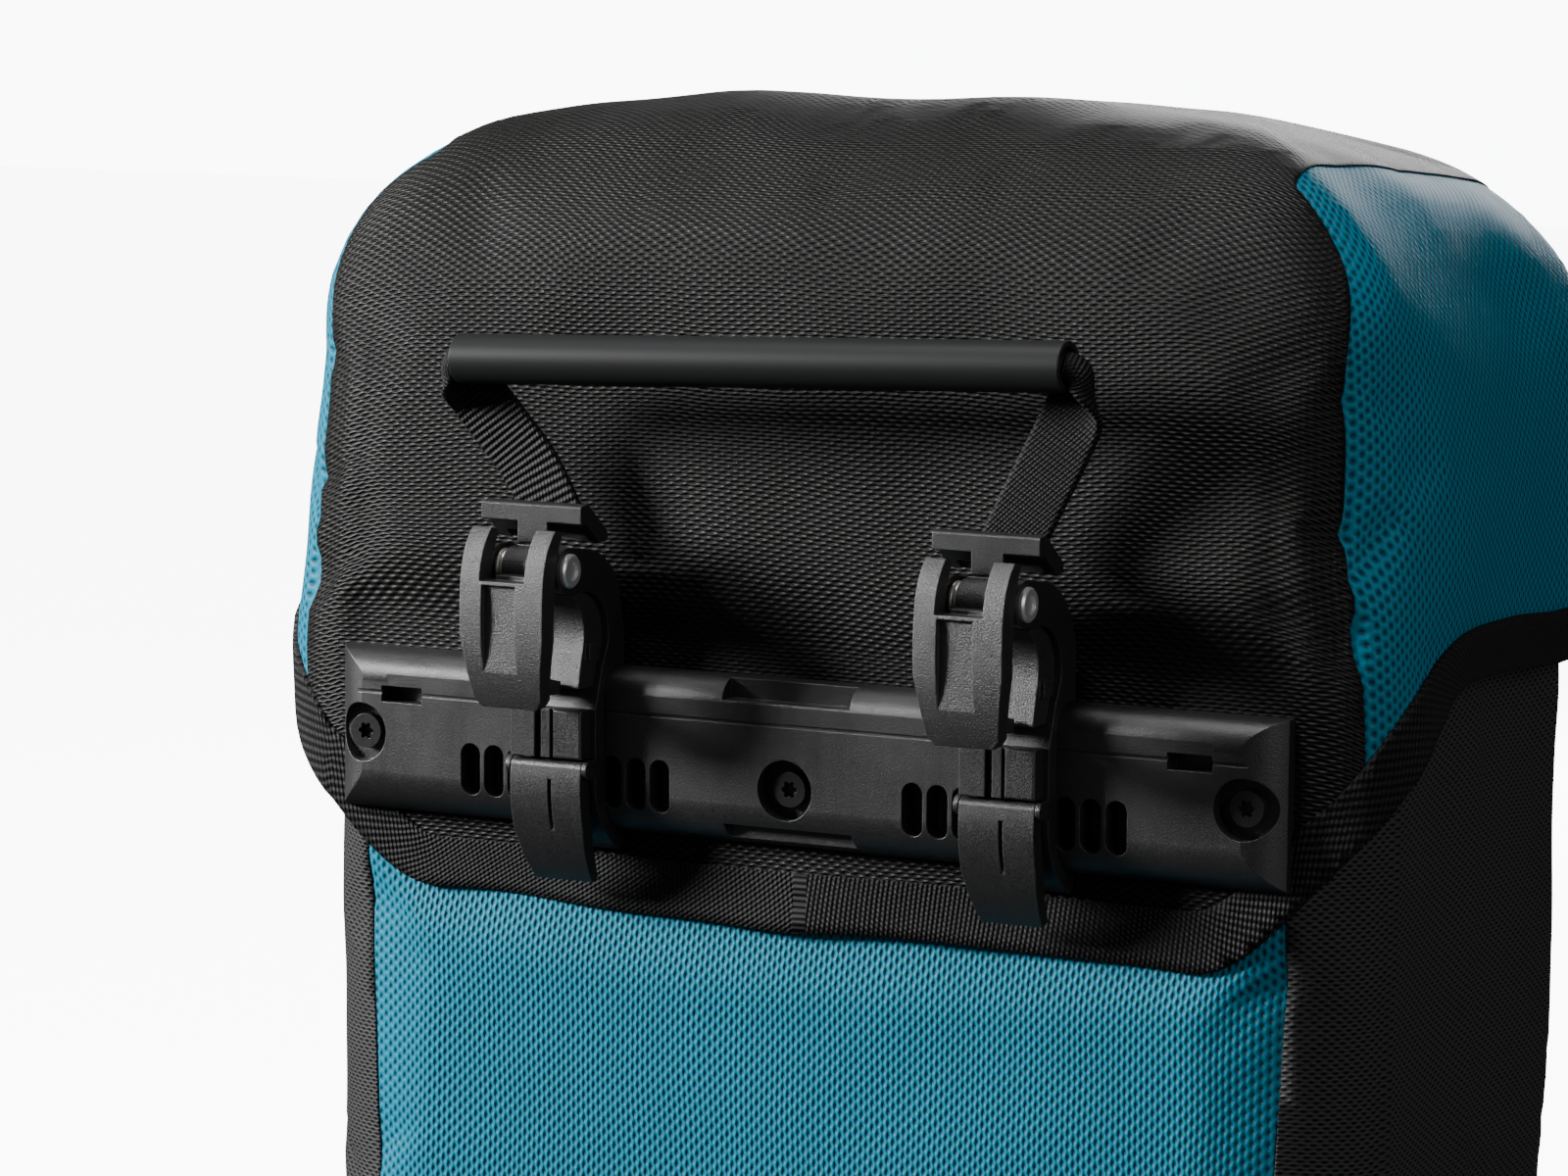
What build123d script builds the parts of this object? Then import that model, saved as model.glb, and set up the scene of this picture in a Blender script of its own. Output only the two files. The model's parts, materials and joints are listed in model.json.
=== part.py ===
from math import radians, tan
import os

from build123d import *

# Pannier bag with a lid, hung from a bicycle rack by two hooks on a rail.
# Millimetres. +X across the bag, -Y towards the bicycle, +Z up; origin under the middle of the base.

# Bag
BASE_HALF = 153.5  # half width of the base
BAG_HALF = 160.0  # half width from the shoulder up
SHOULDER_Z = 190.0
RIM_Z = 355.0
BACK_Y = -67.5  # outer face of the back panel
FRONT_Y = 101.0  # outer face of the front panel
WALL = 2.0
BAG_EDGE_R = 20.0
BASE_CORNER_R = 45.0

# Lid
LID_LOW_HALF = 175.0  # half width at the lid's lowest edge
LID_HIGH_HALF = 166.0  # half width at the hinge line
LID_BACK_Y = -69.0
LID_FRONT_Y = 105.0
LID_LOW_Z = 188.0
LID_TOP_Z = 412.0
LID_SHOULDER_DROP = 14.0
LID_WALL = 1.5
LID_EDGE_R = 25.0
LID_CORNER_R = 53.0
HINGE_Z = 372.0
LID_SPLIT_Y = -56.5  # behind it the lid's cloth stays on the bag
SKIRT_Z = 262.0  # lower edge of the lid's sides and front
BAND_DEPTH = 4.0  # how far the side bands reach round the corners
TAPE = 1.4
TAPE_HEIGHT = 15.0
HEM_LAP = 0.4
GAP = 0.4

# Rail
RAIL_Y = -81.0  # front face
RAIL_BACK_Y = LID_BACK_Y
RAIL_HALF = 148.0
RAIL_LOW_Z = 210.0
RAIL_HIGH_Z = 257.0
RAIL_MID_Z = 233.0
SCREW_X = 138.0
MID_SCREW_Z = 227.0
RECESS_R = 8.5
RECESS_DEPTH = 6.0
SLOT_PITCH = 7.7
SLOTS_PER_SIDE = 9
SLOT_WIDTH = 6.4
SLOT_HEIGHT = 15.0
SLOT_Z = 225.0

# Hooks
HOOK_X = 70.4
HOOK_WIDTH = 26.0
FORK_WIDTH = 17.0  # slot between the cheeks of a hook
PIVOT_Y = RAIL_Y - 20.4
PIVOT_Z = 286.6
LATCH_WIDTH = 26.4
BOSS_R = 6.5
BARREL_R = 6.0
RIVET_R = 2.4
RIVET_HEAD_R = 4.8
SPRING_WIRE = 1.3
SPRING_ROOM = 3.4  # space for the spring beside the barrel
FLAP_WIDTH = 22.6
FLAP_Y = RAIL_Y - 8.0
FLAP_Z = 229.2
FLAP_PIN_R = 1.4
RUN = 0.3  # running clearance
SIDES = {"left": -1, "right": 1}

# Handle
TUBE_R = 7.0
TUBE_HALF = 94.0
TUBE_Y = RAIL_Y - 18.0
TUBE_Z = 347.0
TUBE_WALL = 1.7
TUBE_TILT = 2.0  # degrees; the tube hangs a little askew on its straps
WEB_THICK = 1.6
WEB_WIDTH = 22.0

# Lower rail and hook
LOW_RAIL_HALF = 105.0
LOW_RAIL_Z = 72.0
LOW_RAIL_Y = BACK_Y - 9.0

# Closure
STRAP_WIDTH = 25.0
STRAP_THICK = 1.5
BUCKLE_Z = 226.0

os.makedirs("parts", exist_ok=True)


def keep(part, name):
    part.label = name
    export_step(part, f"parts/{name}.step")


def slab(x, y, z):
    """Box between the limits given for each axis."""
    with BuildPart() as block:
        with BuildSketch(Plane.XY.offset(z[0])):
            with Locations(((x[0] + x[1]) / 2, (y[0] + y[1]) / 2)):
                Rectangle(x[1] - x[0], y[1] - y[0])
        extrude(amount=z[1] - z[0])
    return block.part


def outlines(block):
    """The edges of the two end faces of a block drawn along Y."""
    faces = block.faces().sort_by(Axis.Y)
    return faces[0].edges() + faces[-1].edges()


def bag_block(grow):
    """The bag's outer shape, grown by a distance; it runs past the rim."""
    with BuildPart() as block:
        with BuildSketch(Plane.XZ.offset(-FRONT_Y - grow)):
            with BuildLine():
                Polyline(
                    (-BASE_HALF, 0),
                    (BASE_HALF, 0),
                    (BAG_HALF, SHOULDER_Z),
                    (BAG_HALF, RIM_Z + 40),
                    (-BAG_HALF, RIM_Z + 40),
                    (-BAG_HALF, SHOULDER_Z),
                    close=True,
                )
            outline = make_face()
            base = outline.vertices().group_by(Axis.Y)[0]
            fillet(base, BASE_CORNER_R)
            if grow:
                offset(amount=grow)
        extrude(amount=FRONT_Y - BACK_Y + 2 * grow)
        fillet(outlines(block.part), BAG_EDGE_R + grow)
    return block.part


def lid_block(grow):
    """The lid's outer shape, grown by a distance; it runs below the lowest edge."""
    slope = (LID_LOW_HALF - LID_HIGH_HALF) / (HINGE_Z - LID_LOW_Z)
    low = LID_LOW_Z - 40
    low_half = LID_LOW_HALF + 40 * slope
    shoulder = LID_TOP_Z - LID_SHOULDER_DROP
    high_half = LID_LOW_HALF - (shoulder - LID_LOW_Z) * slope
    with BuildPart() as block:
        with BuildSketch(Plane.XZ.offset(-LID_FRONT_Y - grow)):
            with BuildLine():
                Polyline(
                    (-low_half, low),
                    (low_half, low),
                    (high_half, shoulder),
                    (0, LID_TOP_Z),
                    (-high_half, shoulder),
                    close=True,
                )
            outline = make_face()
            shoulders = outline.vertices().group_by(Axis.Y)[1]
            fillet(shoulders, LID_CORNER_R)
            if grow:
                offset(amount=grow)
        extrude(amount=LID_FRONT_Y - LID_BACK_Y + 2 * grow)
        fillet(outlines(block.part), LID_EDGE_R + grow)
    return block.part



FAR = 400.0
ALL_X = (-FAR, FAR)
ALL_Y = (-FAR, FAR)


# Bag cloth: two flat panels joined by a strip that runs down each side and under the base.
def make_bag():
    outer = bag_block(0)
    inner = bag_block(-WALL)
    with BuildPart() as shell:
        add(outer)
        add(inner, mode=Mode.SUBTRACT)
        add(slab(ALL_X, ALL_Y, (RIM_Z, FAR + 100)), mode=Mode.SUBTRACT)
    back = slab(ALL_X, (BACK_Y - 1, BACK_Y + WALL), (-1, FAR))
    front = slab(ALL_X, (FRONT_Y - WALL, FRONT_Y + 1), (-1, FAR))
    for name, panel in (("back_panel", back), ("front_panel", front)):
        with BuildPart() as piece:
            add(shell.part)
            add(panel, mode=Mode.INTERSECT)
            with Locations(screw_places(BACK_Y) + low_screw_places(BACK_Y)):
                Hole(2.1, 20)
        keep(piece.part, name)
    base_half = BASE_HALF - BASE_CORNER_R
    spans = {
        "gusset_left": (-FAR, -base_half),
        "base_panel": (-base_half, base_half),
        "gusset_right": (base_half, FAR),
    }
    for name, span in spans.items():
        with BuildPart() as piece:
            add(shell.part)
            add(slab(span, (BACK_Y + WALL, FRONT_Y - WALL), (-1, FAR)), mode=Mode.INTERSECT)
        keep(piece.part, name)


def make_rim_hem():
    """Tape folded over the bag's open rim."""
    with BuildPart() as hem:
        add(bag_block(HEM_LAP))
        add(bag_block(-WALL - HEM_LAP), mode=Mode.SUBTRACT)
        add(slab(ALL_X, ALL_Y, (RIM_Z, RIM_Z + TAPE)), mode=Mode.INTERSECT)
        add(slab(ALL_X, (-FAR, BACK_Y), (0, FAR)), mode=Mode.SUBTRACT)
    keep(hem.part, "rim_hem")


def make_inside():
    """Stiffener behind the back panel, the strip that the rail screws bite, and a flat pocket."""
    board_back = BACK_Y + WALL
    board_front = board_back + 2.5
    with BuildPart() as board:
        with BuildSketch(Plane.XZ.offset(-board_front)):
            with Locations((0, 181)):
                RectangleRounded(264, 318, 42)
        extrude(amount=board_front - board_back)
        with Locations(screw_places(board_back) + low_screw_places(board_back)):
            Hole(2.1, 10)
    keep(board.part, "stiffener_board")
    with BuildPart() as strip:
        with BuildSketch(Plane.XZ.offset(-board_front - 3)):
            with Locations((0, RAIL_MID_Z - 3)):
                RectangleRounded(294, 26, 6)
        extrude(amount=3)
        with Locations(screw_places(board_front + 5)):
            Hole(2.1, 30)
    keep(strip.part, "rail_backing_strip")
    with BuildPart() as pocket:
        with BuildSketch(Plane.XZ.offset(-board_front - 6)):
            with Locations((0, 125)):
                RectangleRounded(220, 150, 14)
        extrude(amount=6)
        edges = pocket.faces().sort_by(Axis.Y)[-1].edges()
        fillet(edges, 3)
    keep(pocket.part, "inner_pocket")


def screw_places(y):
    """Planes on the rail's three screw axes, facing the bicycle."""
    centres = ((-SCREW_X, RAIL_MID_Z), (0, MID_SCREW_Z), (SCREW_X, RAIL_MID_Z))
    return [Plane((x, y, z), x_dir=(1, 0, 0), z_dir=(0, -1, 0)) for x, z in centres]


def make_lid():
    outer = lid_block(0)
    with BuildPart() as shell:
        add(outer)
        add(lid_block(-LID_WALL), mode=Mode.SUBTRACT)
    slope = (LID_LOW_HALF - LID_HIGH_HALF) / (HINGE_Z - LID_LOW_Z)
    low = LID_LOW_Z - 60
    low_half = LID_LOW_HALF + 60 * slope - BAND_DEPTH
    high_half = LID_LOW_HALF - (LID_TOP_Z + 40 - LID_LOW_Z) * slope - BAND_DEPTH
    with BuildPart() as between_bands:
        with BuildSketch(Plane.XZ.offset(-FAR)):
            with BuildLine():
                Polyline(
                    (-low_half, low),
                    (low_half, low),
                    (high_half, LID_TOP_Z + 40),
                    (-high_half, LID_TOP_Z + 40),
                    close=True,
                )
            make_face()
        extrude(amount=2 * FAR)
    with BuildPart() as tail_outline:
        with BuildSketch(Plane.XZ.offset(-LID_SPLIT_Y)):
            with Locations((0, LID_LOW_Z)):
                Rectangle(2 * LID_LOW_HALF, HINGE_Z - LID_LOW_Z, align=(Align.CENTER, Align.MIN))
        extrude(amount=40)
        low_corners = tail_outline.edges().filter_by(Axis.Y).group_by(Axis.Z)[0]
        fillet(low_corners, 46)
    with BuildPart() as tail:
        add(shell.part)
        add(tail_outline.part, mode=Mode.INTERSECT)
        with Locations(screw_places(LID_BACK_Y + 5)):
            Hole(2.1, 30)
    keep(tail.part, "lid_back_panel")
    with BuildPart() as moving:
        add(shell.part)
        add(slab(ALL_X, (LID_SPLIT_Y + GAP, FAR), (SKIRT_Z, HINGE_Z + 1)), mode=Mode.INTERSECT)
    with BuildPart() as crown:
        add(shell.part)
        add(slab(ALL_X, ALL_Y, (HINGE_Z + GAP, FAR + 100)), mode=Mode.INTERSECT)
        add(moving.part)
    with BuildPart() as top:
        add(crown.part)
        add(between_bands.part, mode=Mode.INTERSECT)
    keep(top.part, "lid_shell")
    for name, side in SIDES.items():
        with BuildPart() as band:
            add(crown.part)
            add(between_bands.part, mode=Mode.SUBTRACT)
            add(slab(sorted((0, side * FAR)), ALL_Y, (0, FAR + 100)), mode=Mode.INTERSECT)
        keep(band.part, f"lid_side_{name}")
    with BuildPart() as tape:
        add(lid_block(TAPE))
        add(outer, mode=Mode.SUBTRACT)
        add(
            slab(ALL_X, (LID_SPLIT_Y + GAP, FAR), (SKIRT_Z, SKIRT_Z + TAPE_HEIGHT)),
            mode=Mode.INTERSECT,
        )
    keep(tape.part, "lid_binding")
    with BuildPart() as tail_tape:
        add(lid_block(TAPE))
        add(outer, mode=Mode.SUBTRACT)
        add(tail_outline.part, mode=Mode.INTERSECT)
        add(slab(ALL_X, ALL_Y, (0, RAIL_LOW_Z - 5)), mode=Mode.INTERSECT)
    keep(tail_tape.part, "lid_tail_binding")


# Rail: a bar with rounded ends, screw recesses and two rows of slots.
def rail_section(grow):
    """Section of the rail in Y and Z, grown all round."""
    with BuildSketch() as section:
        with BuildLine():
            top = Line((RAIL_BACK_Y, RAIL_HIGH_Z), (RAIL_Y + 8, RAIL_HIGH_Z))
            shoulder = ThreePointArc(top @ 1, (RAIL_Y + 2, RAIL_HIGH_Z - 2.5), (RAIL_Y, RAIL_HIGH_Z - 9))
            face = Line(shoulder @ 1, (RAIL_Y, RAIL_LOW_Z + 13))
            belly = ThreePointArc(face @ 1, (RAIL_Y + 2.8, RAIL_LOW_Z + 4.4), (RAIL_Y + 9.5, RAIL_LOW_Z))
            Polyline(belly @ 1, (RAIL_BACK_Y, RAIL_LOW_Z), top @ 0)
        make_face()
        if grow:
            offset(amount=grow)
    return section.sketch


def make_rail():
    with BuildPart() as rail:
        with BuildSketch(Plane.YZ.offset(-RAIL_HALF)):
            add(rail_section(0))
        extrude(amount=2 * RAIL_HALF)
        with BuildSketch(Plane.XY.offset(RAIL_LOW_Z - 1)):
            with BuildLine():
                back = Line((RAIL_HALF, RAIL_BACK_Y), (-RAIL_HALF, RAIL_BACK_Y))
                left = Line(back @ 1, (-RAIL_HALF, RAIL_Y + 7.5))
                left_bow = (-RAIL_HALF + 5, RAIL_Y + 2.4)
                left_end = ThreePointArc(left @ 1, left_bow, (-RAIL_HALF + 19, RAIL_Y))
                face = Line(left_end @ 1, (RAIL_HALF - 19, RAIL_Y))
                right_bow = (RAIL_HALF - 5, RAIL_Y + 2.4)
                right_end = ThreePointArc(face @ 1, right_bow, (RAIL_HALF, RAIL_Y + 7.5))
                Line(right_end @ 1, back @ 0)
            make_face()
        extrude(amount=RAIL_HIGH_Z - RAIL_LOW_Z + 2, mode=Mode.INTERSECT)
        with Locations(screw_places(RAIL_Y)):
            CounterBoreHole(2.6, RECESS_R, RECESS_DEPTH, 30)
        for side in SIDES.values():
            with BuildSketch(Plane.XZ.offset(-RAIL_Y)):
                with Locations((side * HOOK_X, SLOT_Z)):
                    with GridLocations(SLOT_PITCH, 0, SLOTS_PER_SIDE, 1):
                        SlotOverall(SLOT_HEIGHT, SLOT_WIDTH, rotation=90)
            extrude(amount=-8, mode=Mode.SUBTRACT)
        with BuildSketch(Plane.XZ.offset(-RAIL_Y)):
            with Locations((-124.3, 244.6), (122.5, 244.6)):
                Rectangle(13.4, 4.6)
        extrude(amount=-6, mode=Mode.SUBTRACT)
        with BuildSketch(Plane.YZ.offset(-20)):
            with Locations((RAIL_Y - 1, RAIL_HIGH_Z + 1), (RAIL_Y - 1, RAIL_LOW_Z - 1)):
                Rectangle(13, 14)
        extrude(amount=40, mode=Mode.SUBTRACT)
        with BuildSketch(Plane.YZ.offset(-RAIL_HALF)):
            with Locations((RAIL_Y, RAIL_HIGH_Z - 12)):
                Rectangle(1.0, 1.0)
        extrude(amount=2 * RAIL_HALF, mode=Mode.SUBTRACT)
    keep(rail.part, "rail")


def make_screws(name, places, head_r, head_height, reach):
    """Pan-head screws with a six-lobed socket, standing on the given planes."""
    with BuildPart() as screws:
        for place in places:
            with BuildSketch(place):
                Circle(head_r)
            extrude(amount=head_height)
            with BuildSketch(place):
                Circle(2.0)
            extrude(amount=-reach)
            with BuildSketch(place.offset(head_height)):
                Circle(head_r * 0.36)
                with PolarLocations(head_r * 0.36, 6):
                    Circle(head_r * 0.13)
            extrude(amount=-head_height * 0.6, mode=Mode.SUBTRACT)
    keep(screws.part, name)


# Hooks. Sections are drawn in Y and Z; points are given from the rail's front face.
def out(dy, z):
    return (RAIL_Y + dy, z)


def hook_section():
    """Pivot boss, arch over the rack tube, and the flange that wraps the rail."""
    with BuildSketch() as section:
        with BuildLine():
            boss = ThreePointArc(
                (PIVOT_Y, PIVOT_Z + BOSS_R), (PIVOT_Y - BOSS_R, PIVOT_Z), (PIVOT_Y, PIVOT_Z - BOSS_R)
            )
            brow = Line(boss @ 1, out(-15.5, 279.4))
            arch = ThreePointArc(brow @ 1, out(-1.6, 275.6), out(1.6, 263.3))
            lip = Polyline(arch @ 1, out(-1.2, 258.3), out(-5.1, 246.0), out(-5.1, 228.0))
            jaw = ThreePointArc(lip @ 1, out(-1.8, 214.0), out(9.5, 204.4))
            heel = Polyline(jaw @ 1, out(11, 206), out(11, 214), out(4, 230))
            back = Polyline(heel @ 1, out(4, 250), out(11, 256), out(11, 268))
            crown = ThreePointArc(back @ 1, out(4.5, 284.5), out(-9, 291.6))
            Line(crown @ 1, boss @ 0)
        make_face()
        add(rail_section(RUN), mode=Mode.SUBTRACT)
    return section.sketch


def extruded(section, low, high):
    """A section in Y and Z, drawn out between two X positions."""
    with BuildPart() as bar:
        with BuildSketch(Plane.YZ.offset(low)):
            add(section)
        extrude(amount=high - low)
    return bar.part


def disc(y, z, radius):
    with BuildSketch() as section:
        with Locations((y, z)):
            Circle(radius)
    return section.sketch


def make_hook(name, x):
    half = HOOK_WIDTH / 2
    fork = FORK_WIDTH / 2
    ear = FLAP_WIDTH / 2 + RUN
    with BuildPart() as hook:
        add(extruded(hook_section(), x - half, x + half))
        add(
            slab((x - fork, x + fork), (RAIL_Y - 42, RAIL_Y - 13.2), (268, 304)),
            mode=Mode.SUBTRACT,
        )
        for low, high in ((x - half, x - ear), (x + ear, x + half)):
            add(slab((low, high), (FLAP_Y, RAIL_Y - 4.8), (FLAP_Z - 2.6, FLAP_Z + 2.6)))
            add(extruded(disc(FLAP_Y, FLAP_Z, 2.6), low, high))
        add(extruded(disc(PIVOT_Y, PIVOT_Z, RIVET_R + 0.05), x - half, x + half), mode=Mode.SUBTRACT)
        add(extruded(disc(FLAP_Y, FLAP_Z, FLAP_PIN_R), x - half, x + half), mode=Mode.SUBTRACT)
    keep(hook.part, name)


def make_insert(name, x):
    """Liner that narrows the arch for a thin rack tube, held by a peg on each side."""
    with BuildSketch() as liner:
        with BuildLine():
            outside = ThreePointArc(out(-14.8, 279.1), out(-1.8, 275.4), out(1.4, 263.3))
            heel = Line(outside @ 1, out(-1.3, 258.5))
            toe = Polyline(heel @ 1, out(-3.4, 252.4), out(-11.4, 252.4), out(-9.2, 262))
            inside = ThreePointArc(toe @ 1, out(-8.6, 270.3), out(-11, 275.6))
            Line(inside @ 1, outside @ 0)
        make_face()
    with BuildPart() as insert:
        add(extruded(liner.sketch, x - 11, x + 11))
        with BuildSketch(Plane.YZ.offset(x - 12.4)):
            with Locations(out(-4.6, 262.2)):
                Rectangle(5.6, 4.6)
        extrude(amount=24.8)
    keep(insert.part, name)


def make_latch(name, x):
    """Finger plate in front of the fork, its barrel on the rivet, and the gate under the rack tube."""
    with BuildSketch() as plate:
        with BuildLine():
            brow = (out(-28, 298.4), out(-33.4, 290.5))
            front = Spline(*brow, out(-35.2, 279), out(-34.6, 264), out(-30.5, 248.4))
            tip = Line(front @ 1, out(-25.8, 248.8))
            rear = Spline(tip @ 1, out(-28.4, 264), out(-28.6, 279), out(-27.2, 290.0), out(-24, 297.4))
            Line(rear @ 1, front @ 0)
        make_face()
    with BuildSketch() as gate:
        with BuildLine():
            Polyline(
                out(-28.6, 262),
                out(-28.0, 251.4),
                out(-13.0, 250.8),
                out(-12.4, 254.4),
                out(-24.0, 257.0),
                close=True,
            )
        make_face()
    barrel_low = x - FORK_WIDTH / 2 + SPRING_ROOM
    barrel_high = x + FORK_WIDTH / 2 - RUN
    with BuildPart() as latch:
        add(extruded(plate.sketch, x - LATCH_WIDTH / 2, x + LATCH_WIDTH / 2))
        with BuildSketch(Plane.XZ.offset(-RAIL_Y + 50)):
            with BuildLine():
                Polyline(
                    (x - LATCH_WIDTH / 2, 300),
                    (x - LATCH_WIDTH / 2, 268),
                    (x - 10.6, 251),
                    (x - 7.5, 247),
                    (x + 7.5, 247),
                    (x + 10.6, 251),
                    (x + LATCH_WIDTH / 2, 268),
                    (x + LATCH_WIDTH / 2, 300),
                    close=True,
                )
            make_face()
        extrude(amount=-60, mode=Mode.INTERSECT)
        add(slab((x - 7.2, x + 7.2), (RAIL_Y - 45, RAIL_Y - 20), (284, 302)), mode=Mode.SUBTRACT)
        add(slab((x - 6.4, x + 4.4), (RAIL_Y - 45, RAIL_Y - 33.6), (256, 283)), mode=Mode.SUBTRACT)
        add(extruded(disc(PIVOT_Y, PIVOT_Z, BARREL_R), barrel_low, barrel_high))
        add(slab((barrel_low, x + 7.2), (RAIL_Y - 29.5, PIVOT_Y), (281.2, 285.2)))
        add(extruded(disc(PIVOT_Y, PIVOT_Z, RIVET_R + 0.05), x - 20, x + 20), mode=Mode.SUBTRACT)
        add(extruded(gate.sketch, x - 6, x + 6))
        fillet(latch.faces().sort_by(Axis.Y)[0].edges().filter_by(Axis.X), 0.4)
    keep(latch.part, name)


def make_rivet(name, x):
    half = HOOK_WIDTH / 2
    with BuildPart() as rivet:
        add(extruded(disc(PIVOT_Y, PIVOT_Z, RIVET_R), x - half - 0.5, x + half + 0.5))
        for low, high in ((x - half - 1.5, x - half), (x + half, x + half + 1.5)):
            add(extruded(disc(PIVOT_Y, PIVOT_Z, RIVET_HEAD_R), low, high))
        chamfer(rivet.edges().filter_by(GeomType.CIRCLE).group_by(Axis.X)[0], 0.6)
        chamfer(rivet.edges().filter_by(GeomType.CIRCLE).group_by(Axis.X)[-1], 0.6)
        for start, depth in ((x - half - 1.5, 0.7), (x + half + 1.5, -0.7)):
            with BuildSketch(Plane.YZ.offset(start)):
                with Locations((PIVOT_Y, PIVOT_Z)):
                    Circle(2.7)
            extrude(amount=depth, mode=Mode.SUBTRACT)
    keep(rivet.part, name)


def make_spring(name, x):
    """Torsion spring: two close coils round the rivet, as rings, beside the latch's barrel."""
    low = x - FORK_WIDTH / 2 + 0.5
    with BuildPart() as spring:
        for turn in range(2):
            with BuildSketch(Plane.XY.offset(PIVOT_Z)):
                with Locations((low + SPRING_WIRE * (turn + 0.5), PIVOT_Y - 4.6)):
                    Circle(SPRING_WIRE / 2 - 0.02)
            revolve(axis=Axis((x, PIVOT_Y, PIVOT_Z), (1, 0, 0)))
    keep(spring.part, name)


def make_clip(name, x):
    """T-shaped clip on the handle strap; its neck goes down between the fork's cheeks."""
    with BuildSketch() as roof:
        with BuildLine():
            Polyline(
                out(-19, 304.4),
                out(-15, 304.8),
                out(-4, 296.4),
                out(-4, 293.8),
                out(-8, 293.6),
                out(-15.5, 299.3),
                out(-19, 299.3),
                close=True,
            )
        make_face()
    with BuildPart() as clip:
        add(extruded(roof.sketch, x - 16, x + 16))
        add(slab((x - 4.2, x + 5.2), (RAIL_Y - 19, RAIL_Y - 15.5), (PIVOT_Z + BARREL_R + 0.7, 300)))
        add(slab((x - 12.5, x + 12.5), (RAIL_Y - 11.2, RAIL_Y - 7.2), (290, 310)), mode=Mode.SUBTRACT)
        chamfer(clip.faces().sort_by(Axis.Y)[0].edges().filter_by(Axis.X), 0.4)
    keep(clip.part, name)


def make_lock(side, x):
    """Grooved block, and below it the flap that frees the hook from the rail's slots, on its pin."""
    half = FLAP_WIDTH / 2
    with BuildPart() as block:
        add(slab((x - half, x + half), (RAIL_Y - 10.6, RAIL_Y - 5.1), (FLAP_Z + 3.1, 246)))
        add(slab((x - 3.6, x - 1.4), (RAIL_Y - 12, RAIL_Y - 7.6), (200, 260)), mode=Mode.SUBTRACT)
        add(slab((x + 1.4, x + 2.2), (RAIL_Y - 12, RAIL_Y - 9.4), (200, 260)), mode=Mode.SUBTRACT)
        chamfer(block.faces().sort_by(Axis.Y)[0].outer_wire().edges(), 0.5)
    keep(block.part, f"lock_block_{side}")
    with BuildSketch() as blade:
        with BuildLine():
            front = ThreePointArc((FLAP_Y - 2.4, FLAP_Z), out(-8.4, 210.5), out(0.2, 196))
            tip = Line(front @ 1, out(3.4, 197.2))
            rear = ThreePointArc(tip @ 1, out(-3.6, 211.5), (FLAP_Y + 1.8, FLAP_Z - 1))
            Line(rear @ 1, front @ 0)
        make_face()
        with Locations((FLAP_Y, FLAP_Z)):
            Circle(2.4)
            Circle(FLAP_PIN_R + 0.06, mode=Mode.SUBTRACT)
    with BuildPart() as flap:
        add(extruded(blade.sketch, x - half, x + half))
        with BuildSketch(Plane.XZ.offset(-RAIL_Y + 30)):
            with BuildLine():
                Polyline(
                    (x - half, 240),
                    (x - half, 212),
                    (x - 8.4, 190),
                    (x + 8.4, 190),
                    (x + half, 212),
                    (x + half, 240),
                    close=True,
                )
            make_face()
        extrude(amount=-60, mode=Mode.INTERSECT)
        add(slab((x + 0.8, x + 2.0), (RAIL_Y - 14, RAIL_Y - 8.6), (204, FLAP_Z - 3)), mode=Mode.SUBTRACT)
    keep(flap.part, f"lock_flap_{side}")
    pin = extruded(disc(FLAP_Y, FLAP_Z, FLAP_PIN_R), x - HOOK_WIDTH / 2, x + HOOK_WIDTH / 2)
    keep(pin, f"lock_pin_{side}")


def make_handle():
    """Carrying tube, and the strap at each end down to its clip."""
    middle = Location((0, TUBE_Y, TUBE_Z), (0, -TUBE_TILT, 0))
    with BuildPart() as tube:
        with Locations(middle):
            Cylinder(TUBE_R, 2 * TUBE_HALF, rotation=(0, 90, 0))
            Cylinder(TUBE_R - TUBE_WALL, 2 * TUBE_HALF, rotation=(0, 90, 0), mode=Mode.SUBTRACT)
        fillet(tube.edges().filter_by(GeomType.CIRCLE), 0.5)
    keep(tube.part, "handle_tube")
    rise = (TUBE_HALF - 4) * tan(radians(TUBE_TILT))
    for name, side in SIDES.items():
        low = (side * (HOOK_X - 1), RAIL_Y - 9.2)
        high = (side * (TUBE_HALF - 4), TUBE_Y)
        top_z = TUBE_Z + side * rise - TUBE_R - 0.7
        with BuildPart() as web:
            for (x, y), z in ((low, 301), (high, top_z)):
                with BuildSketch(Plane.XY.offset(z)):
                    with Locations((x, y)):
                        Rectangle(WEB_WIDTH, WEB_THICK)
            loft(ruled=True)
        keep(web.part, f"handle_webbing_{name}")


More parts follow.
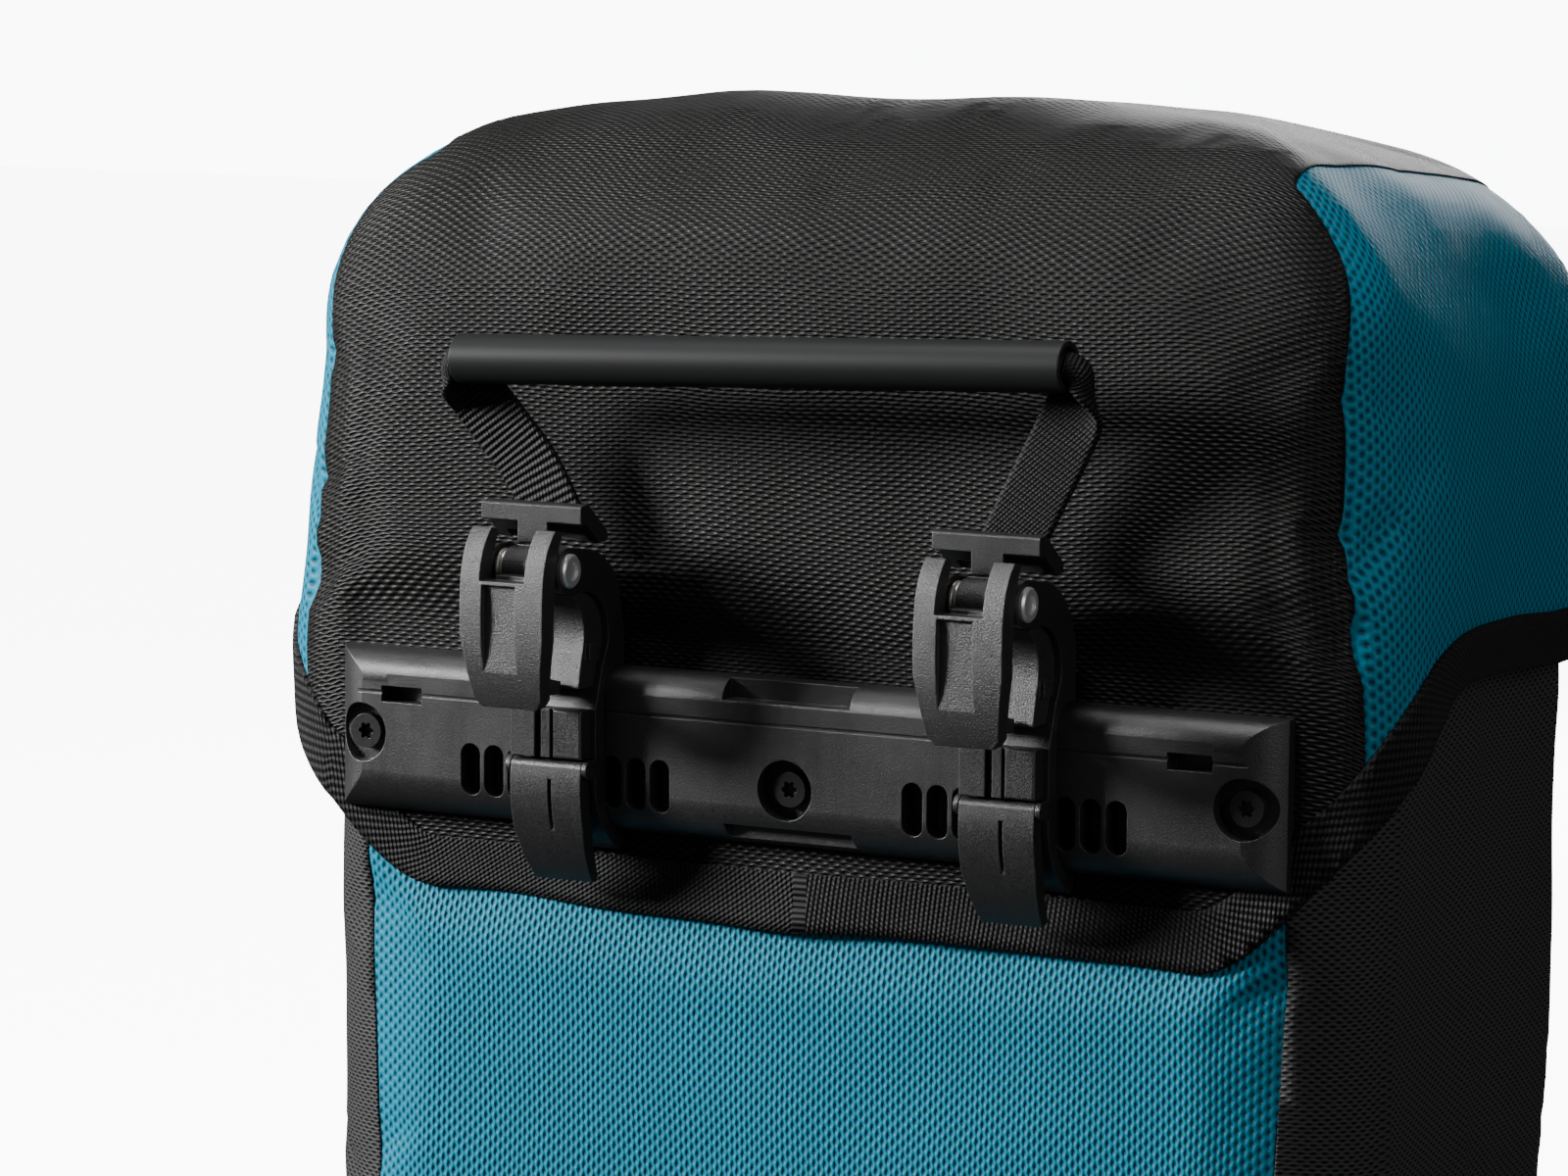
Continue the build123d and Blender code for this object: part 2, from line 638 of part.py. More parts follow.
# Lower rail with a swivelling hook that catches the rack's strut
def make_lower_hook():
    slider_y = LOW_RAIL_Y - RUN
    arm_y = slider_y - 4.3 - RUN
    with BuildPart() as rail:
        with BuildSketch(Plane.XZ.offset(-BACK_Y)):
            with Locations((0, LOW_RAIL_Z)):
                RectangleRounded(2 * LOW_RAIL_HALF, 22, 6)
        extrude(amount=BACK_Y - LOW_RAIL_Y)
        fillet(rail.faces().sort_by(Axis.Y)[0].edges(), 2)
        with Locations(low_screw_places(LOW_RAIL_Y)):
            CounterBoreHole(2.1, 6, 4, 30)
    keep(rail.part, "lower_rail")
    make_screws("lower_rail_screws", low_screw_places(LOW_RAIL_Y + 4), 4.5, 2.6, 8)
    with BuildPart() as slider:
        add(slab((-16, 16), (slider_y - 4.3, slider_y), (LOW_RAIL_Z - 14, LOW_RAIL_Z + 14)))
        for low, high in ((-14, -11.3), (11.3, 14)):
            add(slab((-16, 16), (slider_y - 1, BACK_Y - 0.6), (LOW_RAIL_Z + low, LOW_RAIL_Z + high)))
        fillet(slider.edges().filter_by(Axis.Y), 1.2)
    keep(slider.part, "lower_hook_slider")
    with BuildPart() as hook:
        with BuildSketch(Plane.XY.offset(LOW_RAIL_Z - 30)):
            with BuildLine():
                Polyline(
                    (-14, arm_y),
                    (-14, arm_y - 4),
                    (12, arm_y - 4),
                    (12, arm_y - 19),
                    (-14, arm_y - 19),
                    (-16, arm_y - 22),
                    (14, arm_y - 24),
                    (17, arm_y - 20),
                    (17, arm_y),
                    close=True,
                )
            make_face()
        extrude(amount=42)
        with BuildSketch(Plane.XZ.offset(-arm_y + 60)):
            with Locations((0, LOW_RAIL_Z - 9)):
                RectangleRounded(36, 42, 9)
        extrude(amount=-120, mode=Mode.INTERSECT)
        place = Plane((0, arm_y - 4, LOW_RAIL_Z), x_dir=(1, 0, 0), z_dir=(0, -1, 0))
        with BuildSketch(place):
            Circle(2.1)
        extrude(amount=-6, mode=Mode.SUBTRACT)
    keep(hook.part, "lower_hook")
    make_screws("lower_hook_screw", [place], 4.4, 2.6, 4.2)


def low_screw_places(y):
    """Planes on the lower rail's screw axes, facing the bicycle."""
    return [
        Plane((side * (LOW_RAIL_HALF - 12), y, LOW_RAIL_Z), x_dir=(1, 0, 0), z_dir=(0, -1, 0))
        for side in SIDES.values()
    ]


# Closure on the front: a strap on the lid with a plug, a strap on the bag with a socket
def make_closure():
    half = STRAP_WIDTH / 2
    skin = LID_FRONT_Y
    tape = LID_FRONT_Y + TAPE
    with BuildSketch() as upper:
        with BuildLine():
            Polyline(
                (skin, 334),
                (skin, 284),
                (tape, 279),
                (tape, BUCKLE_Z + 12),
                (tape + STRAP_THICK, BUCKLE_Z + 12),
                (tape + STRAP_THICK, 280),
                (skin + STRAP_THICK, 286),
                (skin + STRAP_THICK, 334),
                close=True,
            )
        make_face()
    keep(extruded(upper.sketch, -half, half), "lid_strap")
    with BuildPart() as lower:
        add(slab((-half, half), (FRONT_Y, FRONT_Y + STRAP_THICK), (140, BUCKLE_Z - 14)))
    keep(lower.part, "bag_strap")
    back = FRONT_Y + STRAP_THICK
    with BuildPart() as socket:
        add(slab((-17.5, 17.5), (back, back + 10), (BUCKLE_Z - 32, BUCKLE_Z + 7)))
        fillet(socket.edges().filter_by(Axis.Z), 2.5)
        fillet(socket.faces().sort_by(Axis.Z)[0].edges(), 1.5)
        add(slab((-13.8, 13.8), (back + 2.2, back + 8), (BUCKLE_Z - 16, BUCKLE_Z + 8)), mode=Mode.SUBTRACT)
        for low, high in ((-19, -11), (11, 19)):
            add(slab((low, high), (back + 2.2, back + 8), (BUCKLE_Z - 12, BUCKLE_Z)), mode=Mode.SUBTRACT)
    keep(socket.part, "buckle_socket")
    with BuildPart() as plug:
        add(slab((-16, 16), (back + 1, back + 9), (BUCKLE_Z + 8, BUCKLE_Z + 24)))
        fillet(plug.edges().filter_by(Axis.Z), 2)
        add(slab((-3, 3), (back + 2.8, back + 7.4), (BUCKLE_Z - 10, BUCKLE_Z + 9)))
        for side in SIDES.values():
            prong = sorted((side * 8.4, side * 12.4))
            add(slab(prong, (back + 2.8, back + 7.4), (BUCKLE_Z - 12, BUCKLE_Z + 9)))
        slot = (tape - RUN, tape + STRAP_THICK + RUN)
        add(slab((-half - RUN, half + RUN), slot, (BUCKLE_Z + 11.5, BUCKLE_Z + 26)), mode=Mode.SUBTRACT)
    keep(plug.part, "buckle_plug")


def make_reflectors():
    with BuildPart() as patches:
        with BuildSketch(Plane.XZ.offset(-FRONT_Y - 1)):
            with Locations((-88, 70), (88, 70)):
                RectangleRounded(58, 22, 8)
        extrude(amount=1)
    keep(patches.part, "reflectors")


make_bag()
make_rim_hem()
make_inside()
make_lid()
make_rail()
make_screws("rail_screws", screw_places(RAIL_Y + RECESS_DEPTH), 5.0, 3.2, 12.0)
for side_name, side in SIDES.items():
    make_hook(f"hook_{side_name}", side * HOOK_X)
    make_insert(f"hook_insert_{side_name}", side * HOOK_X)
    make_latch(f"latch_{side_name}", side * HOOK_X)
    make_rivet(f"latch_rivet_{side_name}", side * HOOK_X)
    make_spring(f"latch_spring_{side_name}", side * HOOK_X)
    make_clip(f"strap_clip_{side_name}", side * HOOK_X)
    make_lock(side_name, side * HOOK_X)
make_handle()
make_lower_hook()
make_closure()
make_reflectors()
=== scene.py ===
import json
import math

import bmesh
import bpy
from mathutils import Matrix, Vector, noise
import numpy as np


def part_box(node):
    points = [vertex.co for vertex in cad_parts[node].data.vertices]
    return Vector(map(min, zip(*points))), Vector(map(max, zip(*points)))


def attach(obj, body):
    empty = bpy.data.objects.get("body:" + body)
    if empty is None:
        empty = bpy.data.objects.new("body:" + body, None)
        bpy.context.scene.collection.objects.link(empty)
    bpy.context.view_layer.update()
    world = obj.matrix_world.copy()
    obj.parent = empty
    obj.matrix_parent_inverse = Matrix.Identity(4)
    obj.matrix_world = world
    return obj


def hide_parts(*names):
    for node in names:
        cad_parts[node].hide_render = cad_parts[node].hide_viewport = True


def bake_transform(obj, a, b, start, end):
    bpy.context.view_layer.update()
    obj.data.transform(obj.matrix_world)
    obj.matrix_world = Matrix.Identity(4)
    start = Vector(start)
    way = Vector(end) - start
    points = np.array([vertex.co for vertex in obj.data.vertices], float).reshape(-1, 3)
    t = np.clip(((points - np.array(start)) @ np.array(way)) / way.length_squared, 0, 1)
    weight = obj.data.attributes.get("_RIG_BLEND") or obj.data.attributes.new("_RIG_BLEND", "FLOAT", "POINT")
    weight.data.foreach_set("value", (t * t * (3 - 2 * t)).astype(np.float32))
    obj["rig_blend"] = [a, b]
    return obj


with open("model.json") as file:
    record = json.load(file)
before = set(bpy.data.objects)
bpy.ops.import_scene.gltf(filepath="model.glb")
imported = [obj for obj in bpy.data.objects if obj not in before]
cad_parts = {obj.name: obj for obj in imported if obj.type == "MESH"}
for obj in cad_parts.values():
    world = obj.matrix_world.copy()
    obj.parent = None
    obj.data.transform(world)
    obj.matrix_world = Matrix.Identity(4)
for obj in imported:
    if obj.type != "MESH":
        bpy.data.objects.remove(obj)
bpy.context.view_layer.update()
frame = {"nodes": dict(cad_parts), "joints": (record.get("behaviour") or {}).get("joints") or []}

MM = 0.001
SIDES = {"left": -1, "right": 1}

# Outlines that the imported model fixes, in metres
BACK_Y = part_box("back_panel")[0].y
FRONT_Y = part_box("front_panel")[1].y
BAG_MID_Y = (BACK_Y + FRONT_Y) / 2
RIM_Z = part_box("gusset_left")[1].z
TAIL_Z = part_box("lid_back_panel")[0].z
LID_BACK_Y, SKIRT_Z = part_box("lid_shell")[0].yz
LID_FRONT_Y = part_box("lid_shell")[1].y
LID_TOP_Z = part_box("lid_shell")[1].z + 4.5 * MM  # before the top sags
HINGE_Y, HINGE_Z = next(j for j in frame["joints"] if j["name"] == "lid_hinge")["pos_m"][1:]
STRAP_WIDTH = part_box("lid_strap")[1].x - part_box("lid_strap")[0].x

# The bag
BASE_HALF = 153.5 * MM
BAG_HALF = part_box("rim_hem")[1].x - 1.1 * MM
SHOULDER_Z = 190 * MM  # the bag widens up to here
BAG_EDGE_R = 20 * MM
BASE_CORNER_R = 45 * MM
SEAM_INSET = 17.4 * MM  # from the bag's outline to the edge of its flat panels
SEAM_LAP = 5 * MM
RIM_TAPE_HEIGHT = 14 * MM

# The lid
LID_LOW_HALF = 176 * MM
LID_SLOPE = 9 / 184  # the lid's sides lean in towards the top
LID_EDGE_R = 22 * MM
LID_CORNER_R = 58 * MM
LID_BROW_R = 62 * MM  # the back turns over into the top
LID_BLOCK_DROP = 4 * MM  # the lid's block ends this far below LID_TOP_Z
BAND_MARGIN = 3.5 * MM  # the coloured side bands stop this far from the back and front faces
BAND_TOP_HALF = 135 * MM
BAND_LAP = 2.5 * MM
LID_TAPE_HEIGHT = 14.5 * MM
BEND_HALF = 20 * MM  # the cloth bends over the hinge line from this far below it to this far above

# How the cloth is made
VOXEL = 4 * MM
SPARE = 30 * MM  # the blocks reach this far past the edges that are cut
PRESSURE = 2.0
FILLING_STEPS = 14
OVER_CLOTH = 0.5 * MM  # how far the outer one of two lapped cloths stands off

# Straps
WEBBING_WIDTH = 18 * MM
ROLL_R = 3.6 * MM  # the webbing rolls up to this radius inside the tube


def smooth(a, b, value):
    """Rises gently from 0 at a to 1 at b."""
    t = min(1, max(0, (value - a) / (b - a)))
    return t * t * (3 - 2 * t)


def points(*triples):
    """Places given in millimetres."""
    return [Vector(p) * MM for p in triples]


# Materials -------------------------------------------------------------------------------------
class Nodes:
    """Short names for building one material's node tree."""

    def __init__(self, name):
        self.material = bpy.data.materials.new(name)
        self.material.use_nodes = True
        self.tree = self.material.node_tree
        self.shader = self.tree.nodes["Principled BSDF"]

    def add(self, kind, **settings):
        node = self.tree.nodes.new(kind)
        for key, value in settings.items():
            setattr(node, key, value)
        return node

    def link(self, source, target):
        self.tree.links.new(source, target)

    def math(self, operation, a, b):
        node = self.add("ShaderNodeMath", operation=operation)
        for socket, value in zip(node.inputs, (a, b)):
            if isinstance(value, (int, float)):
                socket.default_value = value
            else:
                self.link(value, socket)
        return node.outputs[0]

    def cosine(self, coordinate, period):
        """A ripple along a coordinate in metres."""
        turns = self.math("MULTIPLY", coordinate, 2 * math.pi / period)
        return self.math("COSINE", turns, 0.0)

    def coordinates(self, source, scale=(1, 1, 1), turn=0.0):
        """Places on the piece in metres, times scale: "object" is its own axes, "upright" the same with
        height second, and any other name its unrolled cloth coordinates."""
        if source in ("object", "upright"):
            out = self.add("ShaderNodeTexCoord").outputs["Object"]
        else:
            out = self.add("ShaderNodeUVMap", uv_map=source).outputs["UV"]
        mapping = self.add("ShaderNodeMapping")
        mapping.inputs["Scale"].default_value = scale
        mapping.inputs["Rotation"].default_value = (math.pi / 2 if source == "upright" else 0, 0, turn)
        self.link(out, mapping.inputs["Vector"])
        return mapping.outputs["Vector"]

    def split(self, vector):
        """The three parts of a vector."""
        node = self.add("ShaderNodeSeparateXYZ")
        self.link(vector, node.inputs[0])
        return node.outputs

    def noise(self, vector, scale, detail=2.0, roughness=0.5):
        node = self.add("ShaderNodeTexNoise")
        node.inputs["Scale"].default_value = scale
        node.inputs["Detail"].default_value = detail
        node.inputs["Roughness"].default_value = roughness
        self.link(vector, node.inputs["Vector"])
        return node.outputs["Fac"]

    def ramp(self, value, stops):
        node = self.add("ShaderNodeValToRGB")
        while len(node.color_ramp.elements) < len(stops):
            node.color_ramp.elements.new(0.5)
        for element, (position, color) in zip(node.color_ramp.elements, stops):
            element.position = position
            element.color = (*color, 1) if isinstance(color, tuple) else (color, color, color, 1)
        self.link(value, node.inputs["Fac"])
        return node.outputs["Color"]

    def blend(self, factor, a, b, kind="MIX"):
        node = self.add("ShaderNodeMix", data_type="RGBA", blend_type=kind)
        for key, value in (("Factor", factor), ("A", a), ("B", b)):
            self.fill(node.inputs[key], value)
        return node.outputs["Result"]

    def bevel(self, radius, samples):
        node = self.add("ShaderNodeBevel", samples=samples)
        node.inputs["Radius"].default_value = radius
        return node.outputs[0]

    def bump(self, height, strength, distance, normal=None):
        node = self.add("ShaderNodeBump")
        node.inputs["Strength"].default_value = strength
        node.inputs["Distance"].default_value = distance
        self.link(height, node.inputs["Height"])
        if normal is not None:
            self.link(normal, node.inputs["Normal"])
        return node.outputs["Normal"]

    def fill(self, socket, value):
        """Give a socket a number, a colour or another node's result."""
        if isinstance(value, (int, float)):
            socket.default_value = value
        elif isinstance(value, tuple):
            socket.default_value = (*value, 1)
        else:
            self.link(value, socket)

    def finish(self, color, roughness, normal=None, **constants):
        self.fill(self.shader.inputs["Base Color"], color)
        self.fill(self.shader.inputs["Roughness"], roughness)
        if normal is not None:
            self.link(normal, self.shader.inputs["Normal"])
        for key, value in constants.items():
            self.shader.inputs[key.replace("_", " ")].default_value = value
        return self.material


def darker(color, part):
    return tuple(c * part for c in color)


def coated_cloth(name, thread, hollow, shade, pitch, roughness, source="weave"):
    """Coated weave: raised threads round a staggered net of oval hollows, pitch apart across and along, with
    painted shade in the hollows and a painted highlight on the thread tops.
    """
    n = Nodes(name)
    place = n.coordinates(source)
    split = n.split(place)
    wander = n.math("MULTIPLY", n.math("SUBTRACT", n.noise(place, 18), 0.5), 2.4 * MM)
    u = n.math("ADD", split[0], wander)
    v = n.math("ADD", split[1], wander)
    net = n.math("MULTIPLY", n.math("MULTIPLY", n.cosine(u, pitch[0]), n.cosine(v, pitch[1])), 0.62)
    double = n.cosine(u if pitch[0] < pitch[1] else v, min(pitch) / 2)
    depth = n.math("ADD", net, n.math("MULTIPLY", double, 0.38))
    raised = n.math("MULTIPLY", n.math("SUBTRACT", 1.0, depth), 0.5)
    fibre = n.noise(n.coordinates(source, (2600, 900, 900 if source == "upright" else 1)), 1.0, 3)
    speck = n.noise(place, 420, 1)
    patch = n.noise(n.coordinates("object"), 11, 3)
    # painted light: the hollows take a darker colour as painted shade and the thread tops a lighter one as a
    # painted highlight
    lit_thread_top = tuple(min(1, c * 1.25) for c in thread)
    hue = n.ramp(raised, ((0.16, hollow), (0.46, thread), (0.8, lit_thread_top)))
    hue = n.blend(n.math("MULTIPLY", speck, 0.5), hue, shade, "MULTIPLY")
    hue = n.blend(n.math("MULTIPLY", patch, 0.35), hue, shade, "MULTIPLY")
    rough = n.math("ADD", n.math("MULTIPLY", fibre, 0.22), roughness - 0.1)
    rough = n.math("ADD", rough, n.math("MULTIPLY", n.math("SUBTRACT", 1.0, raised), 0.2))
    ridge = n.math("ADD", n.math("POWER", raised, 0.7), n.math("MULTIPLY", fibre, 0.14))
    return n.finish(hue, rough, n.bump(ridge, 1.0, 0.8 * MM), Specular_IOR_Level=0.22)


def twill_tape(name, thread, hollow):
    """Narrow tape with slanting twill ribs broken into short stitches."""
    n = Nodes(name)
    pitch = 1.25 * MM
    split = n.split(n.coordinates("weave", turn=0.62))
    rib = n.cosine(split[1], pitch)
    step = n.cosine(n.math("ADD", split[0], n.math("MULTIPLY", split[1], 0.5)), pitch * 1.3)
    raised = n.math("ADD", n.math("MULTIPLY", rib, 0.24), n.math("MULTIPLY", step, 0.26))
    raised = n.math("ADD", raised, 0.5)
    fibre = n.noise(n.coordinates("weave", (1800, 1800, 1)), 1.0)
    # painted shade: the hollows between the twill ribs take the darker colour
    hue = n.ramp(raised, ((0.25, hollow), (0.75, thread)))
    hue = n.blend(n.math("MULTIPLY", fibre, 0.6), hue, (0.35, 0.35, 0.36), "MULTIPLY")
    height = n.math("ADD", raised, n.math("MULTIPLY", fibre, 0.3))
    rough = n.math("ADD", n.math("MULTIPLY", fibre, 0.2), 0.5)
    return n.finish(hue, rough, n.bump(height, 1.0, 0.6 * MM), Specular_IOR_Level=0.22)


def ribbed_webbing(name, thread, hollow):
    """Woven strap: ribs across its width, each a row of small loops."""
    n = Nodes(name)
    split = n.split(n.coordinates("weave"))
    rib = n.cosine(split[1], 1.5 * MM)
    loop = n.cosine(n.math("ADD", split[0], n.math("MULTIPLY", split[1], 0.5)), 1.1 * MM)
    raised = n.math("ADD", n.math("MULTIPLY", rib, 0.34), n.math("MULTIPLY", loop, 0.12))
    raised = n.math("ADD", raised, 0.5)
    fibre = n.noise(n.coordinates("weave", (2400, 1200, 1)), 1.0)
    # painted shade: the hollows between the ribs take the darker colour
    hue = n.ramp(raised, ((0.2, hollow), (0.8, thread)))
    hue = n.blend(n.math("MULTIPLY", fibre, 0.5), hue, (0.4, 0.4, 0.4), "MULTIPLY")
    height = n.math("ADD", raised, n.math("MULTIPLY", fibre, 0.25))
    rough = n.math("ADD", n.math("MULTIPLY", fibre, 0.2), 0.5)
    return n.finish(hue, rough, n.bump(height, 1.0, 0.6 * MM), Specular_IOR_Level=0.25)


def twisted_thread(name, color):
    """Sewing thread: slanting plies, with a little fluff."""
    n = Nodes(name)
    split = n.split(n.coordinates("object"))
    ply = n.cosine(n.math("ADD", split[0], n.math("MULTIPLY", split[2], 0.6)), 0.45 * MM)
    raised = n.math("ADD", n.math("MULTIPLY", ply, 0.5), 0.5)
    fluff = n.noise(n.coordinates("object"), 3000)
    hue = n.blend(raised, darker(color, 0.25), color)
    rough = n.math("ADD", n.math("MULTIPLY", fluff, 0.3), 0.45)
    return n.finish(hue, rough, n.bump(n.math("ADD", raised, fluff), 0.8, 0.15 * MM))


def edge_highlight_mask(n, rounded):
    """White where the rounded normal turns away from the true one, which is along the edges: where the
    painted highlight goes.
    """
    turned = n.add("ShaderNodeVectorMath", operation="DOT_PRODUCT")
    n.link(rounded, turned.inputs[0])
    n.link(n.add("ShaderNodeNewGeometry").outputs["Normal"], turned.inputs[1])
    return n.ramp(n.math("SUBTRACT", 1.0, turned.outputs["Value"]), ((0.03, 0.0), (0.22, 1.0)))


def moulded_plastic(name, color, roughness, grain, edge=0.35 * MM):
    """Fine spark-eroded texture, a painted highlight along the rounded moulded edges, and hazy patches."""
    n = Nodes(name)
    place = n.coordinates("object")
    speckle = n.noise(place, 2100, 3, 0.7)
    cloud = n.noise(place, 60, 3)
    streak = n.noise(n.coordinates("object", (500, 500, 60)), 1.0)
    rounded = n.bevel(edge, 6)
    edges = edge_highlight_mask(n, rounded)
    # painted highlight: a pale grey for the edges
    painted_edge_highlight = tuple(c * 4 + 0.03 for c in color)
    hue = n.blend(n.math("MULTIPLY", cloud, 0.5), color, darker(color, 0.5))
    grit = n.ramp(speckle, ((0.36, 0.35), (0.62, 1.5)))
    hue = n.blend(min(1.0, grain * 1.6), hue, grit, "MULTIPLY")
    # painted highlight: the edges are blended towards the pale grey
    hue = n.blend(n.math("MULTIPLY", edges, 0.6), hue, painted_edge_highlight)
    rough = n.math("ADD", n.math("MULTIPLY", speckle, 0.5), roughness - 0.28)
    rough = n.math("ADD", rough, n.math("MULTIPLY", n.math("SUBTRACT", cloud, 0.5), 0.2))
    rough = n.math("ADD", rough, n.math("MULTIPLY", n.math("SUBTRACT", streak, 0.5), 0.1))
    return n.finish(hue, rough, n.bump(speckle, grain, 0.35 * MM, rounded), Specular_IOR_Level=0.75)


def bare_metal(name, color, roughness, metallic=1.0):
    """Turned or rolled metal with fine scratches and dull spots."""
    n = Nodes(name)
    scratches = n.noise(n.coordinates("object", (900, 900, 900)), 1.0, 3)
    spots = n.noise(n.coordinates("object"), 240, 3)
    hue = n.blend(n.math("MULTIPLY", spots, 0.4), color, darker(color, 0.6))
    rough = n.math("ADD", n.math("MULTIPLY", scratches, 0.18), roughness - 0.08)
    normal = n.bump(scratches, 0.12, 0.06 * MM, n.bevel(0.25 * MM, 4))
    return n.finish(hue, rough, normal, Metallic=metallic)


def smooth_rubber(name, color):
    """Soft matt rubber, drawn along its length."""
    n = Nodes(name)
    grain = n.noise(n.coordinates("object"), 1500, 3, 0.6)
    drag = n.noise(n.coordinates("object", (40, 900, 900)), 1.0)
    cloud = n.noise(n.coordinates("object"), 45)
    hue = n.blend(n.math("MULTIPLY", cloud, 0.5), color, darker(color, 0.7))
    rough = n.math("ADD", n.math("MULTIPLY", grain, 0.14), 0.4)
    height = n.math("ADD", n.math("MULTIPLY", grain, 0.6), n.math("MULTIPLY", drag, 0.4))
    return n.finish(hue, rough, n.bump(height, 0.2, 0.15 * MM), Specular_IOR_Level=0.2)


def reflective_film(name):
    """Silver film over a fine honeycomb of cells."""
    n = Nodes(name)
    cells = n.add("ShaderNodeTexVoronoi", feature="DISTANCE_TO_EDGE")
    cells.inputs["Scale"].default_value = 420
    n.link(n.coordinates("object"), cells.inputs["Vector"])
    wall = n.ramp(cells.outputs["Distance"], ((0.02, 0.0), (0.12, 1.0)))
    cloud = n.noise(n.coordinates("object"), 70)
    hue = n.blend(wall, (0.42, 0.43, 0.45), (0.68, 0.69, 0.71))
    rough = n.math("ADD", n.math("MULTIPLY", cloud, 0.2), 0.22)
    return n.finish(hue, rough, n.bump(wall, 0.3, 0.2 * MM), Metallic=0.55, Coat_Weight=0.5)


# near black, painted into the hollows of the black weaves as shade
HOLLOW_SHADE = (0.0003, 0.0003, 0.0003)
LYING_NET = (3.9 * MM, 2.3 * MM)
UPRIGHT_NET = (3.3 * MM, 3.4 * MM)
FINE_NET = (1.9 * MM, 1.9 * MM)
lid_finish = coated_cloth(
    "black_coated_cloth", (0.0105, 0.0098, 0.0092), HOLLOW_SHADE, (0.4, 0.39, 0.37), LYING_NET, 0.4
)
# painted light: the gusset is the same black cloth as the lid, given a lighter grey as if lit at a grazing
# angle
gusset_painted_lit_finish = coated_cloth(
    "grey_coated_cloth", (0.045, 0.045, 0.046), (0.004, 0.004, 0.004), (0.5, 0.5, 0.5), LYING_NET, 0.5
)
blue_finish = coated_cloth(
    "blue_coated_cloth", (0.0, 0.19, 0.285), (0.0, 0.07, 0.115), (0.3, 0.72, 0.8), UPRIGHT_NET, 0.4
)
tape_finish = twill_tape("black_twill_tape", (0.018, 0.018, 0.0185), HOLLOW_SHADE)
webbing_finish = ribbed_webbing("black_webbing", (0.014, 0.0137, 0.0135), HOLLOW_SHADE)
pocket_finish = coated_cloth(
    "grey_pocket_cloth", (0.06, 0.06, 0.062), (0.006, 0.006, 0.006), (0.5, 0.5, 0.5), FINE_NET, 0.5, "upright"
)
thread_finish = twisted_thread("sewing_thread", (0.06, 0.06, 0.062))
plastic_finish = moulded_plastic("black_moulded_plastic", (0.016, 0.0157, 0.0154), 0.42, 0.35)
latch_finish = moulded_plastic("black_latch_plastic", (0.02, 0.0195, 0.019), 0.44, 0.8, 0.5 * MM)
tube_finish = smooth_rubber("charcoal_tube", (0.014, 0.0144, 0.015))
rivet_finish = bare_metal("bright_rivet", (0.86, 0.86, 0.85), 0.36, 0.75)
spring_finish = bare_metal("spring_wire", (0.8, 0.76, 0.7), 0.34, 0.8)
screw_finish = bare_metal("black_screw", (0.05, 0.05, 0.052), 0.34, 0.7)
strip_finish = bare_metal("mill_aluminium", (0.6, 0.6, 0.62), 0.4)
board_finish = moulded_plastic("grey_board", (0.06, 0.06, 0.064), 0.6, 0.3)
film_finish = reflective_film("reflective_film")


# Making cloth ----------------------------------------------------------------------------------
def new_piece(name, bm, material):
    mesh = bpy.data.meshes.new(name)
    bm.to_mesh(mesh)
    bm.free()
    piece = bpy.data.objects.new(name, mesh)
    bpy.context.collection.objects.link(piece)
    mesh.materials.append(material)
    for face in mesh.polygons:
        face.use_smooth = True
    return piece


def give_wall(piece, thickness, offset):
    wall = piece.modifiers.new("wall", "SOLIDIFY")
    wall.thickness = thickness
    wall.offset = offset
    return wall


def applied(piece):
    """The piece with its modifiers worked into its mesh."""
    graph = bpy.context.evaluated_depsgraph_get()
    mesh = bpy.data.meshes.new_from_object(piece.evaluated_get(graph))
    piece.modifiers.clear()
    piece.data = mesh
    return piece


def round_over(bm, edges, radius, segments):
    bmesh.ops.bevel(bm, geom=edges, offset=radius, offset_type="OFFSET", segments=segments, profile=0.5,
                    affect="EDGES", material=-1)


def block(name, half, low, high, back, front, corner_z, corner_r, edge_r):
    """A closed block whose half width follows its height. The two corners at corner_z are rounded along Y,
    then the outlines of its back and front."""
    bm = bmesh.new()
    bmesh.ops.create_cube(bm, size=2)
    for vert in bm.verts:
        z = high if vert.co.z > 0 else low
        y = front if vert.co.y > 0 else back
        vert.co = Vector((half(z) * vert.co.x, y, z))

    def at_corner(edge):
        a, b = edge.verts[0].co, edge.verts[1].co
        return abs(a.y - b.y) > 10 * MM and abs(a.z - corner_z) < MM and abs(b.z - corner_z) < MM

    def on_outline(edge):
        return abs(edge.verts[0].co.y - edge.verts[1].co.y) < MM

    round_over(bm, [edge for edge in bm.edges if at_corner(edge)], corner_r, 10)
    round_over(bm, [edge for edge in bm.edges if on_outline(edge)], edge_r, 6)
    bmesh.ops.recalc_face_normals(bm, faces=bm.faces)
    piece = new_piece(name, bm, lid_finish)
    remesh = piece.modifiers.new("voxels", "REMESH")
    remesh.mode = "VOXEL"
    remesh.voxel_size = VOXEL
    return applied(piece)


